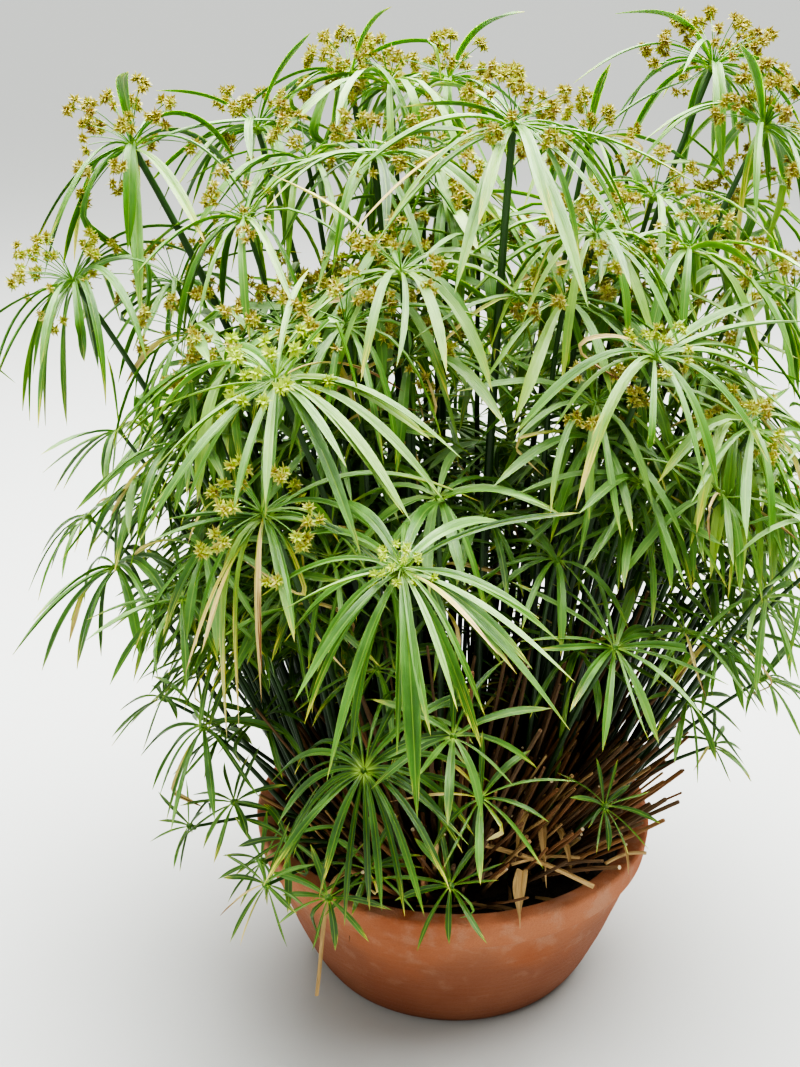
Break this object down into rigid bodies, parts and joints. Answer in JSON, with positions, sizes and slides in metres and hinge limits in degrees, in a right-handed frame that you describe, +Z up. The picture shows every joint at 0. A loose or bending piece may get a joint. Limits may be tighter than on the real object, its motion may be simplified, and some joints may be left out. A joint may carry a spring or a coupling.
{
  "type": "potted papyrus plant",
  "caption": "Dense clump of umbrella papyrus in a low round pot: arching stems, drooping strap-leaf whorls, flower rays and a crown of dead stalks.",
  "frame": {"origin": "middle of the pot's flat foot, on the surface that the pot stands on", "axes": "+Z up, along the pot's axis; -Y towards the viewer of the picture, +X to their right"},
  "size_m": [1.0745, 1.0553, 1.1696],
  "materials": {
    "terracotta": "matte",
    "wet_soil": "matte",
    "dead_stalk": "matte",
    "straw": "matte",
    "stem": "satin",
    "leaf": "satin"
  },
  "bodies": {
    "root": {"pot": "terracotta", "soil": "wet_soil", "root_crown": "dead_stalk", "dry_stem": "straw", "stem_01": "stem", "stem_02": "stem", "stem_03": "stem", "stem_04": "stem", "stem_05": "stem", "stem_06": "stem", "stem_07": "stem", "stem_08": "stem", "stem_09": "stem", "stem_10": "stem", "stem_11": "stem", "stem_12": "stem", "stem_13": "stem", "stem_14": "stem", "stem_15": "stem", "stem_16": "stem", "stem_17": "stem", "stem_18": "stem", "stem_19": "stem", "stem_20": "stem", "stem_21": "stem", "stem_22": "stem", "stem_23": "stem", "stem_24": "stem", "stem_25": "stem", "stem_26": "stem", "stem_27": "stem", "stem_28": "stem", "leaf_whorl_01": "leaf", "leaf_whorl_02": "leaf", "leaf_whorl_03": "leaf", "leaf_whorl_04": "leaf", "leaf_whorl_05": "leaf", "leaf_whorl_06": "leaf", "leaf_whorl_07": "leaf", "leaf_whorl_08": "leaf", "leaf_whorl_09": "leaf", "leaf_whorl_10": "leaf", "leaf_whorl_11": "leaf", "leaf_whorl_12": "leaf", "leaf_whorl_13": "leaf", "leaf_whorl_14": "leaf", "leaf_whorl_15": "leaf", "leaf_whorl_16": "leaf", "leaf_whorl_17": "leaf", "leaf_whorl_18": "leaf", "leaf_whorl_19": "leaf", "leaf_whorl_20": "leaf", "leaf_whorl_21": "leaf", "leaf_whorl_22": "leaf", "leaf_whorl_23": "leaf", "leaf_whorl_24": "leaf", "leaf_whorl_25": "leaf", "leaf_whorl_26": "leaf", "leaf_whorl_27": "leaf", "leaf_whorl_28": "leaf"}
  },
  "joints": []
}
